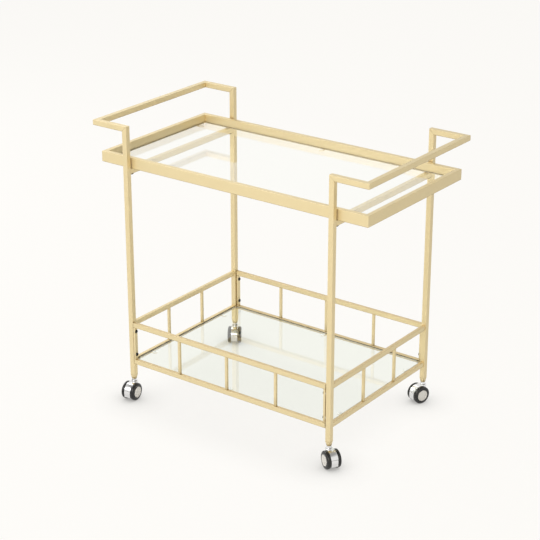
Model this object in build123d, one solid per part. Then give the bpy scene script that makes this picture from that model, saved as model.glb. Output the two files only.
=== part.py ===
from build123d import *
import os
from math import cos, radians, sin

# Two-tier bar cart: a square-tube frame with out-turned handles, a glass tray on top,
# a glass shelf with a low gallery below, and four twin-wheel swivel casters with brake pedals.
# Millimetres, +Z up. The origin is on the floor, midway between the four legs.
# X runs along the cart's length, from the left end to the right end, and -Y is its front.

# Driving dimensions of the frame
post_span_x = 680.0         # over the outer faces of the left and right posts
post_span_y = 480.0         # over the outer faces of the front and rear posts
handle_top = 798.0          # height of the handles' top faces, the cart's highest
handle_reach = 102.0        # from a post's outer face to the handle bar's outer face
post_size = 15.0            # square tube of the posts and the handles
tube_wall = 1.2
tube_corner = 1.4           # outer corner radius of the drawn tubes

# Top tray
tray_length = 860.0
tray_top = 708.0
tray_rail_height = 30.0
tray_rail_width = 13.5
tray_post_gap = 3.0         # between the tray's long rails and the posts
crossbar_size = 15.0        # square tube that carries the tray between front and rear posts

# Lower gallery
upper_rail_top = 232.5
lower_rail_top = 121.0
gallery_rail_height = 14.0
gallery_rail_depth = 10.0
baluster_size = 7.0
upright_width = 6.0
panel_post_gap = 1.5        # the bolted panels stand off the posts by a rivet nut's flange
long_side_balusters = 3
short_side_balusters = 2

# Glass panes and what carries them
glass_thickness = 5.0
glass_edge_gap = 2.0
glass_edge_bevel = 0.6
tray_glass_corner = 4.0
shelf_glass_clip = 12.0     # clipped corners clear the posts
shelf_glass_drop = 2.5      # from the lower rails' top faces down to the glass
tab_thickness = 2.0
tab_width = 13.0
tab_reach = 18.0
tab_corner = 4.0            # clipped corners of a tab's free end
tab_offset_y = 160.0        # the short sides' tabs, either side of the middle
tray_tab_offset_y = 176.0
pad_thickness = 1.0
pad_radius = 6.0
pad_inset = 11.5            # from a rail's inner face to a pad's centre

# Fasteners
bolt_radius = 2.45
bolt_hole_radius = 2.75
bolt_head_radius = 4.9
bolt_head_height = 3.0
bolt_head_chamfer = 1.4
bolt_length = 16.0
bolt_spacing = 70.0
bolt_below_rail = 12.0      # upper bolt's axis below the upper rail
nut_body_radius = 3.45
nut_flange_radius = 4.8
nut_body_length = 9.0
nut_hole_radius = 3.5
nut_bore_radius = 2.5
screw_length = 22.0
screw_head_radius = 6.0
screw_head_height = 4.0

# Tapered leg ends
plug_height = 12.0
plug_tip_size = 12.4
plug_tip_corner = 5.0
plug_insert = 16.0
plug_clearance = 0.1

# Casters
caster_height = 58.0        # floor to the leg's lower end
wheel_radius = 25.0
wheel_trail = 15.0          # the axle's offset from the swivel axis
wheel_gap = 21.0            # between the two wheels' inner faces
wheel_width = 10.1
wheel_tread = 6.5           # flat part of the tyre, from the inner face
tyre_thickness = 4.5        # from the tread in to the ring pocket
tyre_shoulder = 8.0         # from the tread in to the outer face's rim
shoulder_share_out = 0.67   # where the shoulder's slope changes, as shares of its width and height
shoulder_share_in = 0.74
wheel_rim = 1.4
wheel_recess_depth = 1.8
wheel_hub_radius = 8.0
wheel_pocket_depth = 4.5
hubcap_clearance = 0.1
hubcap_lip = 0.2            # how far the cap's rim stands out of the wheel
hubcap_rim = 2.2
hubcap_step = 0.5
hubcap_crown = 1.0
hubcap_flat_radius = 8.5
axle_radius = 3.0
axle_end_gap = 0.1          # from the pin's ends to the hubcaps
running_clearance = 0.05
press_clearance = 0.02
hood_side_gap = 0.7
hood_setback = 0.6          # from the tread in to the hood's round
hood_wall = 2.4
cheek_thickness = 3.0
boss_end_wall = 3.3
roof_angle = 80.0           # where the flat roof meets the round of the hood
leading_foot_angle = 214.0
pedal_top_angle = 16.0
pedal_tip_angle = -30.0
pedal_seam = 1.6            # degrees of open seam between hood and pedal
pedal_thickness = 2.8
pedal_side_gap = 0.4
pedal_arm_gap = 0.5
pedal_cheek_gap = 0.8
pedal_hub_radius = 5.5
pedal_arm_low = -17.0
pedal_arm_high = 11.0
pedal_toe = 2.4             # how far the pedal's toe is turned out
pedal_toe_angle = 14.0
stem_thread_radius = 4.0
stem_thread_length = 20.0
stem_end_gap = 1.0
collar_radius = 6.4
collar_height = 7.7
collar_gap = 0.3
stem_pin_radius = 4.5
stem_pin_length = 16.0

# Which way each caster trails from its leg, degrees from +X, as it stands in the picture
caster_angles = {
    "left_front": -83.0,
    "right_front": -31.0,
    "right_rear": -111.0,
    "left_rear": -57.0,
}
side_signs = {"left": -1, "right": 1}
end_signs = {"front": -1, "rear": 1}

# Sizes that follow from the ones above
half_x = post_span_x / 2
half_y = post_span_y / 2
post_x = half_x - post_size / 2
post_y = half_y - post_size / 2
clear_x = post_span_x - 2 * post_size
clear_y = post_span_y - 2 * post_size
handle_axis_x = half_x + handle_reach - post_size / 2
handle_axis_z = handle_top - post_size / 2
tray_depth = clear_y - 2 * tray_post_gap
tray_bottom = tray_top - tray_rail_height
tray_inner_x = tray_length / 2 - tray_rail_width
tray_inner_y = tray_depth / 2 - tray_rail_width
upper_rail_bottom = upper_rail_top - gallery_rail_height
shelf_inner_x = post_x - gallery_rail_depth / 2
shelf_inner_y = half_y - gallery_rail_depth
panel_length = clear_x - 2 * panel_post_gap
panel_y = half_y - gallery_rail_depth / 2
upright_x = panel_length / 2 - upright_width / 2
bolt_heights = [upper_rail_bottom - bolt_below_rail - drop for drop in (0.0, bolt_spacing)]
tray_glass_bottom = tray_bottom + tab_thickness + pad_thickness
shelf_glass_top = lower_rail_top - shelf_glass_drop
shelf_glass_bottom = shelf_glass_top - glass_thickness
wheel_inner = wheel_gap / 2
wheel_outer = wheel_inner + wheel_width
wheel_recess_floor = wheel_outer - wheel_recess_depth
wheel_shoulder_radius = wheel_radius - tyre_shoulder
wheel_recess_radius = wheel_shoulder_radius - wheel_rim
wheel_pocket_radius = wheel_radius - tyre_thickness
hood_width = wheel_gap - 2 * hood_side_gap
hood_radius = wheel_radius - hood_setback
boss_radius = hood_width / 2
cheek_radius = hood_radius - pedal_thickness - pedal_cheek_gap
pedal_arm_width = hood_width - 2 * (cheek_thickness + pedal_arm_gap)
collar_bottom = caster_height - collar_height
boss_top = collar_bottom - collar_gap
boss_floor = collar_bottom - stem_pin_length - boss_end_wall

parts = {}


def tube_section(width, depth):
    """Outline of a drawn tube with rounded corners and an even wall."""
    outside = RectangleRounded(width, depth, tube_corner)
    inside = Rectangle(width - 2 * tube_wall, depth - 2 * tube_wall)
    return outside - inside


def upright_tube(width, depth, low, high):
    """Tube standing on the Z axis between two heights."""
    return Pos(0, 0, low) * extrude(tube_section(width, depth), high - low)


def gallery_bar(width, depth):
    """Thin sharp-edged tube that stands between the two gallery rails."""
    outline = Rectangle(width, depth) - Rectangle(width - 2 * tube_wall, depth - 2 * tube_wall)
    return Pos(0, 0, lower_rail_top) * extrude(outline, upper_rail_bottom - lower_rail_top)


def lengthwise_tube(depth, height, length):
    """Tube centred on the origin that runs along X."""
    profile = Plane.YZ * tube_section(depth, height)
    return extrude(profile, length / 2, both=True)


def crosswise_tube(width, height, length):
    """Tube centred on the origin that runs along Y."""
    profile = Plane.XZ * tube_section(width, height)
    return extrude(profile, length / 2, both=True)


def keep_side(solid, point, direction):
    """Cut a tube square or mitred at a point and keep the end that a direction points to."""
    return split(solid, bisect_by=Plane(origin=point, z_dir=direction), keep=Keep.TOP)


def group(solids):
    """Several separate solids of one kind as one sub-part."""
    return Compound(children=[Solid(each.solid().wrapped) for each in solids])


def drill(solid, cutters):
    """Take every cutter from a solid."""
    for cutter in cutters:
        solid = solid - cutter
    return solid


def bolt_positions(side, end):
    """Where a gallery panel's two bolts cross the face of one post."""
    x = side * (half_x - post_size)
    return [(x, end * panel_y, height) for height in bolt_heights]


def along_x(radius, length, point, direction):
    """Round bar along X that starts at a point."""
    bar = Cylinder(radius, length, align=(Align.CENTER, Align.CENTER, Align.MIN))
    return Pos(*point) * Rot(0, 90 * direction, 0) * bar


def make_posts():
    """Four posts: drilled for the panel bolts, mitred where they turn into the handles."""
    for side_name, side in side_signs.items():
        for end_name, end in end_signs.items():
            foot = caster_height + plug_height
            post = Pos(side * post_x, end * post_y, 0) * upright_tube(
                post_size, post_size, foot, handle_top)
            corner = (side * post_x, end * post_y, handle_axis_z)
            post = keep_side(post, corner, (-side, 0, -1))
            holes = [
                along_x(nut_hole_radius, 2 * tube_wall, (x + side * 1.5 * tube_wall, y, z), -side)
                for x, y, z in bolt_positions(side, end)
            ]
            parts[f"{side_name}_{end_name}_post"] = drill(post, holes)


def make_handles():
    """Two handles: front arm, bar and rear arm, mitred to each other and to the posts."""
    for side_name, side in side_signs.items():
        pieces = []
        for end in end_signs.values():
            arm = Pos(side * (post_x + handle_axis_x) / 2, end * post_y, handle_axis_z)
            arm = arm * lengthwise_tube(post_size, post_size, handle_axis_x - post_x + 2 * post_size)
            arm = keep_side(arm, (side * post_x, end * post_y, handle_axis_z), (side, 0, 1))
            arm = keep_side(arm, (side * handle_axis_x, end * post_y, handle_axis_z), (-side, end, 0))
            pieces.append(arm)
        bar = Pos(side * handle_axis_x, 0, handle_axis_z)
        bar = bar * crosswise_tube(post_size, post_size, post_span_y)
        for end in end_signs.values():
            corner = (side * handle_axis_x, end * post_y, handle_axis_z)
            bar = keep_side(bar, corner, (side, -end, 0))
        pieces.insert(1, bar)
        parts[f"{side_name}_handle"] = group(pieces)


def make_side_galleries():
    """Short sides: two rails and their balusters, welded between the front and rear posts."""
    pitch = clear_y / (short_side_balusters + 1)
    for side_name, side in side_signs.items():
        rails = []
        for top in (upper_rail_top, lower_rail_top):
            place = Pos(side * post_x, 0, top - gallery_rail_height / 2)
            rails.append(place * crosswise_tube(gallery_rail_depth, gallery_rail_height, clear_y))
        parts[f"{side_name}_side_rails"] = group(rails)
        bars = []
        for index in range(short_side_balusters):
            y = (index + 1) * pitch - clear_y / 2
            bars.append(Pos(side * post_x, y, 0) * gallery_bar(baluster_size, baluster_size))
        parts[f"{side_name}_side_balusters"] = group(bars)


def make_panels():
    """Front and rear gallery panels: two rails, two end uprights and the balusters."""
    pitch = clear_x / (long_side_balusters + 1)
    for end_name, end in end_signs.items():
        rails = []
        for top in (upper_rail_top, lower_rail_top):
            place = Pos(0, end * panel_y, top - gallery_rail_height / 2)
            rails.append(place * lengthwise_tube(gallery_rail_depth, gallery_rail_height, panel_length))
        parts[f"{end_name}_gallery_rails"] = group(rails)
        uprights = []
        for side in side_signs.values():
            upright = gallery_bar(upright_width, gallery_rail_depth)
            upright = Pos(side * upright_x, end * panel_y, 0) * upright
            holes = [
                along_x(bolt_hole_radius, 2 * post_size, (x, y, z), -side)
                for x, y, z in bolt_positions(side, end)
            ]
            uprights.append(drill(upright, holes))
        parts[f"{end_name}_gallery_uprights"] = group(uprights)
        bars = []
        for index in range(long_side_balusters):
            x = (index + 1) * pitch - clear_x / 2
            bars.append(Pos(x, end * panel_y, 0) * gallery_bar(baluster_size, baluster_size))
        parts[f"{end_name}_gallery_balusters"] = group(bars)


def tray_screw_positions():
    """Under the tray's long rails, where they cross the crossbars."""
    y = tray_depth / 2 - tray_rail_width / 2
    return [(side * post_x, end * y) for side in side_signs.values() for end in end_signs.values()]


def make_tray_frame():
    """Four mitred rails and the two crossbars that they stand on."""
    middle = tray_top - tray_rail_height / 2
    corner_x = tray_length / 2 - tray_rail_width / 2
    corner_y = tray_depth / 2 - tray_rail_width / 2
    screw_holes = [
        Pos(x, y, tray_bottom) * Cylinder(bolt_radius + running_clearance, 4 * tube_wall)
        for x, y in tray_screw_positions()
    ]
    for end_name, end in end_signs.items():
        rail = lengthwise_tube(tray_rail_width, tray_rail_height, tray_length)
        rail = Pos(0, end * corner_y, middle) * rail
        for side in side_signs.values():
            rail = keep_side(rail, (side * corner_x, end * corner_y, middle), (-side, end, 0))
        parts[f"tray_{end_name}_rail"] = drill(rail, screw_holes)
    for side_name, side in side_signs.items():
        rail = crosswise_tube(tray_rail_width, tray_rail_height, tray_depth)
        rail = Pos(side * corner_x, 0, middle) * rail
        for end in end_signs.values():
            rail = keep_side(rail, (side * corner_x, end * corner_y, middle), (side, -end, 0))
        parts[f"tray_{side_name}_rail"] = rail
    bars = []
    for side in side_signs.values():
        bar = crosswise_tube(crossbar_size, crossbar_size, clear_y)
        bar = Pos(side * post_x, 0, tray_bottom - crossbar_size / 2) * bar
        holes = [
            Pos(x, y, tray_bottom - crossbar_size / 2) * Cylinder(bolt_hole_radius, 2 * crossbar_size)
            for x, y in tray_screw_positions()
        ]
        bars.append(drill(bar, holes))
    parts["tray_crossbars"] = group(bars)


def pane(length, depth, bottom, corner_cut):
    """Glass pane with treated corners and ground edges."""
    outline = Rectangle(length, depth)
    outline = corner_cut(outline)
    plate = Pos(0, 0, bottom) * extrude(outline, glass_thickness)
    rims = plate.faces().sort_by(Axis.Z)[-1].edges() + plate.faces().sort_by(Axis.Z)[0].edges()
    return chamfer(rims, glass_edge_bevel)


def make_glass():
    """Tray pane with rounded corners, shelf pane with clipped ones."""
    parts["tray_glass"] = pane(
        2 * (tray_inner_x - glass_edge_gap), 2 * (tray_inner_y - glass_edge_gap), tray_glass_bottom,
        lambda outline: fillet(outline.vertices(), tray_glass_corner))
    parts["shelf_glass"] = pane(
        2 * (shelf_inner_x - glass_edge_gap), 2 * (shelf_inner_y - glass_edge_gap), shelf_glass_bottom,
        lambda outline: chamfer(outline.vertices(), shelf_glass_clip))


def tab_places(inner_x, inner_y, offset_y):
    """Point on a rail's inner face and the turn that faces a tab inwards, for each of six tabs."""
    places = []
    for side in side_signs.values():
        for end in end_signs.values():
            places.append(Pos(side * inner_x, end * offset_y, 0) * Rot(0, 0, 90 + 90 * side))
    for end in end_signs.values():
        places.append(Pos(0, end * inner_y, 0) * Rot(0, 0, -90 * end))
    return places


def make_glass_supports():
    """Welded tabs with a clear pad on each, two per short side and one per long side."""
    tab_outline = Pos(tab_reach / 2, 0) * Rectangle(tab_reach, tab_width)
    tab_outline = chamfer(tab_outline.vertices().sort_by(Axis.X)[2:], tab_corner)
    for name, inner_x, inner_y, offset_y, glass_bottom in (
        ("tray", tray_inner_x, tray_inner_y, tray_tab_offset_y, tray_glass_bottom),
        ("shelf", shelf_inner_x, shelf_inner_y, tab_offset_y, shelf_glass_bottom),
    ):
        tab_top = glass_bottom - pad_thickness
        tabs = []
        pads = []
        for place in tab_places(inner_x, inner_y, offset_y):
            plate = extrude(tab_outline, tab_thickness)
            tabs.append(place * Pos(0, 0, tab_top - tab_thickness) * plate)
            disc = Cylinder(pad_radius, pad_thickness, align=(Align.CENTER, Align.CENTER, Align.MIN))
            pads.append(place * Pos(pad_inset, 0, tab_top) * disc)
        parts[f"{name}_glass_tabs"] = group(tabs)
        parts[f"{name}_glass_pads"] = group(pads)


def button_bolt(length, head_radius, head_height):
    """Round-head bolt on the Z axis: the head's seat at zero, the shank going up."""
    head = Cylinder(head_radius, head_height, align=(Align.CENTER, Align.CENTER, Align.MAX))
    head = chamfer(head.edges().sort_by(Axis.Z)[0], bolt_head_chamfer)
    return head + Cylinder(bolt_radius, length, align=(Align.CENTER, Align.CENTER, Align.MIN))


def rivet_nut():
    """Hexagon rivet nut on the Z axis: the flange below zero, the body going up."""
    flange = Cylinder(nut_flange_radius, panel_post_gap, align=(Align.CENTER, Align.CENTER, Align.MAX))
    body = extrude(RegularPolygon(nut_body_radius, 6), nut_body_length)
    return flange + body - Cylinder(nut_bore_radius, 3 * nut_body_length)


def make_fasteners():
    """Panel bolts in flanged rivet nuts, and the screws that hold the tray to its crossbars."""
    bolt = button_bolt(bolt_length, bolt_head_radius, bolt_head_height)
    screw = button_bolt(screw_length, screw_head_radius, screw_head_height)
    bolts = []
    nuts = []
    head_seat = panel_post_gap + upright_width
    for side in side_signs.values():
        for end in end_signs.values():
            for x, y, z in bolt_positions(side, end):
                bolts.append(Pos(x - side * head_seat, y, z) * Rot(0, 90 * side, 0) * bolt)
                nuts.append(Pos(x, y, z) * Rot(0, 90 * side, 0) * rivet_nut())
    parts["gallery_bolts"] = group(bolts)
    parts["gallery_rivet_nuts"] = group(nuts)
    seat = tray_bottom - crossbar_size
    parts["tray_screws"] = group([Pos(x, y, seat) * screw for x, y in tray_screw_positions()])


def make_leg_ends():
    """Tapered plugs in the posts' lower ends, threaded for the caster stems."""
    plugs = []
    stems = []
    insert_size = post_size - 2 * tube_wall - 2 * plug_clearance
    top = caster_height + plug_height
    for side in side_signs.values():
        for end in end_signs.values():
            place = Pos(side * post_x, end * post_y, 0)
            taper = loft([
                Pos(0, 0, caster_height) * RectangleRounded(plug_tip_size, plug_tip_size, plug_tip_corner),
                Pos(0, 0, top) * RectangleRounded(post_size, post_size, tube_corner),
            ])
            insert = Pos(0, 0, top) * extrude(Rectangle(insert_size, insert_size), plug_insert)
            thread = Pos(0, 0, caster_height) * Cylinder(
                stem_thread_radius + running_clearance, 2 * (stem_thread_length + stem_end_gap))
            plugs.append(place * (taper + insert - thread))
            stems.append(place * caster_stem())
    parts["leg_plugs"] = group(plugs)
    parts["caster_stems"] = group(stems)


def caster_stem():
    """Threaded stem with a hexagon collar, and the plain pin that the hood turns on."""
    thread = Pos(0, 0, caster_height) * Cylinder(
        stem_thread_radius, stem_thread_length, align=(Align.CENTER, Align.CENTER, Align.MIN))
    collar = Pos(0, 0, collar_bottom) * extrude(
        RegularPolygon(collar_radius, 6, major_radius=False), collar_height)
    pin = Pos(0, 0, collar_bottom) * Cylinder(
        stem_pin_radius, stem_pin_length, align=(Align.CENTER, Align.CENTER, Align.MAX))
    return thread + collar + pin


def on_axle(radius, angle):
    """Point in the caster's side view at a radius and an angle about the axle."""
    turn = radians(angle)
    return (wheel_trail + radius * cos(turn), wheel_radius + radius * sin(turn))


def side_extrusion(outline, width):
    """Outline drawn in the caster's side view, given an even width about its middle plane."""
    return extrude(Plane.XZ * outline, width / 2, both=True)


def pie(radius, start, end):
    """Slice of a disc about the axle, between two angles."""
    steps = [start, (start + end) / 2, end]
    points = [on_axle(radius, step) for step in steps]
    edges = [
        Line(on_axle(0, 0), points[0]),
        ThreePointArc(*points),
        Line(points[2], on_axle(0, 0)),
    ]
    return make_face(edges)


def make_hood():
    """Cast hood: rounded shell with a flat roof, two cheeks on the axle and a boss on the stem."""
    roof_edge = on_axle(hood_radius, roof_angle)
    seam = on_axle(hood_radius, pedal_top_angle + pedal_seam)
    foot = on_axle(hood_radius, leading_foot_angle)
    nose = on_axle(hood_radius, 180)
    outline = make_face([
        Line((-boss_radius, boss_top), (boss_radius, boss_top)),
        Line((boss_radius, boss_top), roof_edge),
        ThreePointArc(roof_edge, on_axle(hood_radius, (roof_angle + pedal_top_angle) / 2), seam),
        Line(seam, on_axle(0, 0)),
        Line(on_axle(0, 0), foot),
        ThreePointArc(foot, on_axle(hood_radius, (180 + leading_foot_angle) / 2), nose),
        Line(nose, (-boss_radius, wheel_radius + hood_wall)),
        Line((-boss_radius, wheel_radius + hood_wall), (-boss_radius, boss_top)),
    ])
    cheeks = Pos(*on_axle(0, 0)) * Circle(cheek_radius)
    body = side_extrusion(outline, hood_width) + side_extrusion(cheeks, hood_width)
    hollow = Pos(*on_axle(0, 0)) * Circle(hood_radius - hood_wall)
    body = body - side_extrusion(hollow, hood_width - 2 * cheek_thickness)
    boss_height = boss_top - boss_floor
    boss = Pos(0, 0, boss_floor) * Cylinder(
        boss_radius, boss_height, align=(Align.CENTER, Align.CENTER, Align.MIN))
    corner_cut = Pos(0, 0, boss_floor) * (
        extrude(Rectangle(2 * boss_radius, hood_width), boss_height)
        - Cylinder(boss_radius, 3 * boss_height))
    front_half = Pos(-boss_radius, 0, boss_floor) * Box(
        2 * boss_radius, hood_width, 3 * boss_height)
    body = body + boss - (corner_cut & front_half)
    bore = Pos(0, 0, boss_top) * Cylinder(
        stem_pin_radius + running_clearance, 2 * (stem_pin_length + stem_end_gap))
    shaft = Pos(*axle_point()) * Rot(90, 0, 0) * Cylinder(axle_radius + press_clearance, 2 * hood_width)
    return body - bore - shaft


def axle_point():
    """Middle of the axle in the caster's own frame."""
    x, z = on_axle(0, 0)
    return (x, 0, z)


def make_pedal():
    """Brake pedal: a curved plate with a turned-out toe, on an arm that turns about the axle."""
    outer = pie(hood_radius, pedal_tip_angle, pedal_top_angle)
    inner = Pos(*on_axle(0, 0)) * Circle(hood_radius - pedal_thickness)
    plate = side_extrusion(outer - inner, hood_width - 2 * pedal_side_gap)
    tip = on_axle(hood_radius, pedal_tip_angle)
    back = on_axle(hood_radius - pedal_thickness, pedal_tip_angle)
    low = on_axle(hood_radius, pedal_tip_angle + pedal_toe_angle)
    toe = make_face([
        Line(low, (tip[0] + pedal_toe, tip[1])),
        Line((tip[0] + pedal_toe, tip[1]), back),
        Line(back, low),
    ])
    plate = plate + side_extrusion(toe, hood_width - 2 * pedal_side_gap)
    arm = pie(hood_radius - pedal_thickness / 2, pedal_arm_low, pedal_arm_high)
    arm_solid = side_extrusion(arm, pedal_arm_width)
    hub = Pos(*axle_point()) * Rot(90, 0, 0) * Cylinder(pedal_hub_radius, pedal_arm_width)
    shaft = Pos(*axle_point()) * Rot(90, 0, 0) * Cylinder(
        axle_radius + running_clearance, 2 * hood_width)
    return plate + arm_solid + hub - shaft


def chain(points):
    """Closed outline through points, straight between them."""
    return make_face(Polyline(*points, close=True))


def make_wheel():
    """One wheel on the +Y side: sloped shoulder outside, ring pocket inside, seat for the hubcap."""
    bore = axle_radius + running_clearance
    pocket_floor = wheel_inner + wheel_pocket_depth
    shoulder_start = wheel_inner + wheel_tread
    shoulder_mid = (
        shoulder_start + (wheel_outer - shoulder_start) * shoulder_share_out,
        wheel_shoulder_radius + tyre_shoulder * shoulder_share_in,
    )
    return spin_about_axle(chain([
        (wheel_inner, bore),
        (wheel_inner, wheel_hub_radius),
        (pocket_floor, wheel_hub_radius),
        (pocket_floor, wheel_pocket_radius),
        (wheel_inner, wheel_pocket_radius),
        (wheel_inner, wheel_radius),
        (shoulder_start, wheel_radius),
        shoulder_mid,
        (wheel_outer, wheel_shoulder_radius),
        (wheel_outer, wheel_recess_radius),
        (wheel_recess_floor, wheel_recess_radius),
        (wheel_recess_floor, bore),
    ]))


def spin_about_axle(face):
    """Turn an outline of (distance from the middle plane, radius) about the axle."""
    turned = revolve(face, Axis.X, 360)
    return Pos(*axle_point()) * Rot(0, 0, 90) * turned


def make_hubcap():
    """Crowned cap with a stepped rim that presses into the wheel's recess."""
    radius = wheel_recess_radius - hubcap_clearance
    face = wheel_outer + hubcap_lip
    inside_rim = radius - hubcap_rim
    return spin_about_axle(chain([
        (wheel_recess_floor, 0),
        (wheel_recess_floor, radius),
        (face, radius),
        (face, inside_rim),
        (face - hubcap_step, inside_rim - hubcap_step),
        (face + hubcap_crown, hubcap_flat_radius),
        (face + hubcap_crown, 0),
    ]))


def make_axle():
    """Plain axle pin: fast in the hood's cheeks, with a wheel running on each end."""
    length = 2 * (wheel_recess_floor - axle_end_gap)
    return Pos(*axle_point()) * Rot(90, 0, 0) * Cylinder(axle_radius, length)


def make_casters():
    """Four casters, each turned to its own trail angle under its leg."""
    wheel = make_wheel()
    hubcap = make_hubcap()
    shared = {
        "caster_hood": make_hood(),
        "caster_axle": make_axle(),
        "brake_pedal": make_pedal(),
        "wheel_a": wheel,
        "wheel_b": Rot(0, 0, 180) * Pos(-2 * wheel_trail, 0, 0) * wheel,
        "hubcap_a": hubcap,
        "hubcap_b": Rot(0, 0, 180) * Pos(-2 * wheel_trail, 0, 0) * hubcap,
    }
    for corner, angle in caster_angles.items():
        side_name, end_name = corner.split("_")
        x = side_signs[side_name] * post_x
        y = end_signs[end_name] * post_y
        for piece, solid in shared.items():
            parts[f"{corner}_{piece}"] = Pos(x, y, 0) * Rot(0, 0, angle) * solid


make_posts()
make_handles()
make_side_galleries()
make_panels()
make_tray_frame()
make_glass()
make_glass_supports()
make_fasteners()
make_leg_ends()
make_casters()

os.makedirs("parts", exist_ok=True)
for name, shape in parts.items():
    export_step(shape, f"parts/{name}.step")
print(len(parts), "sub-parts")
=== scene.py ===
import logging
import math
from dataclasses import dataclass, replace
from enum import Enum
from typing import Iterable

import bmesh
import bpy
from mathutils import Matrix, Vector


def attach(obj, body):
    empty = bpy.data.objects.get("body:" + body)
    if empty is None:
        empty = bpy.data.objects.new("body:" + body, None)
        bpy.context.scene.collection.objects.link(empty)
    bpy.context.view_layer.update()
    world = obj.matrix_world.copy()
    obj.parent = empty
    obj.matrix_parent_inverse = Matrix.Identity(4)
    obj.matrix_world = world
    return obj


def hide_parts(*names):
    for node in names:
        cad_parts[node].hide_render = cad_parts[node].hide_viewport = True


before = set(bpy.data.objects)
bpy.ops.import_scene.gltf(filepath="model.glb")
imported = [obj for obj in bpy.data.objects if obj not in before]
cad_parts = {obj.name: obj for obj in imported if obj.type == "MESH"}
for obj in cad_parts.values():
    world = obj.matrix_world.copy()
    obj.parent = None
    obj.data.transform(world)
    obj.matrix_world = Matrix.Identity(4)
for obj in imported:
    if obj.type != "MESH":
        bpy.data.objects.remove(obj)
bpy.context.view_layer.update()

log = logging.getLogger("bar_cart")

Colour = tuple[float, float, float]
Place = tuple[float, float, float]
Span = tuple[float, float]
Profile = list[tuple[float, float]]
Socket = bpy.types.NodeSocket

WHITE: Colour = (1.0, 1.0, 1.0)
QUARTER_TURN = math.pi / 2
SAME_POINT = 1e-6    # corners of a turned shape nearer than this are one, in metres
SAME_CORNER = 2e-6   # corners of a CAD mesh nearer than this are one, in metres
FLAT_TURN = 0.6      # CAD faces that turn less than this are one flat face, in degrees


class Side(Enum):
    """The cart's two ends along X."""

    LEFT = -1
    RIGHT = 1


class Face(Enum):
    """The cart's two long sides along Y."""

    FRONT = -1
    REAR = 1


@dataclass(frozen=True)
class CartSizes:
    """Sizes of the frame, in metres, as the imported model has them."""

    half_x: float = 0.340
    half_y: float = 0.240
    post: float = 0.015
    panel_y: float = 0.235
    panel_gap: float = 0.0015
    upright: float = 0.006
    bolt_heights: tuple[float, float] = (0.2065, 0.1365)
    tray_bottom: float = 0.678
    tray_inner_x: float = 0.4165
    tray_inner_y: float = 0.2085
    tray_tab_y: float = 0.176
    tray_pad_z: float = 0.680
    screw_y: float = 0.21525
    crossbar: float = 0.015
    shelf_inner_x: float = 0.3275
    shelf_inner_y: float = 0.230
    shelf_tab_y: float = 0.160
    shelf_pad_z: float = 0.1125
    shelf_pane_top: float = 0.1185
    pad_inset: float = 0.0115

    @property
    def post_x(self) -> float:
        """Distance of a post's axis from the middle, along X."""
        return self.half_x - self.post / 2

    @property
    def post_y(self) -> float:
        """Distance of a post's axis from the middle, along Y."""
        return self.half_y - self.post / 2


SIZES = CartSizes()


class Nodes:
    """Short ways to add and join shader nodes in one tree."""

    def __init__(self, tree: bpy.types.NodeTree) -> None:
        """Keep the tree.

        Args:
            tree: The material's, group's or world's node tree.
        """
        self.tree = tree

    def feed(self, target: Socket, value: object) -> None:
        """Join an output to an input, or set the input.

        Args:
            target: The input.
            value: An output, a number, or a colour of three parts.
        """
        if isinstance(value, Socket):
            self.tree.links.new(value, target)
        elif target.type == "RGBA":
            target.default_value = (*value, 1.0)
        else:
            target.default_value = value

    def add(self, kind: str, **values: object) -> bpy.types.Node:
        """Add a node and give it its properties and inputs.

        Args:
            kind: The node's type name without the leading ShaderNode.
            values: Properties, or inputs by name with underscores for spaces.

        Returns:
            The new node.
        """
        node = self.tree.nodes.new("ShaderNode" + kind)
        for name, value in values.items():
            if hasattr(node, name):
                setattr(node, name, value)
            else:
                self.feed(node.inputs[name.replace("_", " ")], value)
        return node

    def maths(self, operation: str, *terms: object) -> Socket:
        """Add a Math node.

        Args:
            operation: Blender's name of the operation.
            terms: Numbers or sockets, in order.

        Returns:
            The node's output.
        """
        node = self.add("Math", operation=operation)
        for socket, term in zip(node.inputs, terms):
            self.feed(socket, term)
        return node.outputs[0]

    def dot(self, first: Socket, second: Socket) -> Socket:
        """Dot product of two vectors.

        Args:
            first: One vector.
            second: The other.

        Returns:
            The socket with the product.
        """
        node = self.add("VectorMath", operation="DOT_PRODUCT")
        self.feed(node.inputs[0], first)
        self.feed(node.inputs[1], second)
        return node.outputs["Value"]

    def ramp(self, source: Socket, start: float, end: float, low: float = 0.0,
             high: float = 1.0, interpolation: str = "LINEAR") -> Socket:
        """Map a value's range to another one, held at both ends.

        Args:
            source: The value.
            start: Where the range starts.
            end: Where it ends, which may be below the start.
            low: What the start becomes.
            high: What the end becomes.
            interpolation: Blender's name of the way between them.

        Returns:
            The socket with the mapped value.
        """
        node = self.add("MapRange", interpolation_type=interpolation, Value=source,
                        From_Min=start, From_Max=end, To_Min=low, To_Max=high)
        return node.outputs[0]

    def mix(self, share: object, first: object, second: object, blend: str = "MIX") -> Socket:
        """Mix two colours.

        Args:
            share: How much of the second one there is.
            first: The lower colour.
            second: The upper colour.
            blend: Blender's name of the way they mix.

        Returns:
            The socket with the mixed colour.
        """
        node = self.add("Mix", data_type="RGBA", blend_type=blend, Factor=share, A=first, B=second)
        return node.outputs["Result"]


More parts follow.
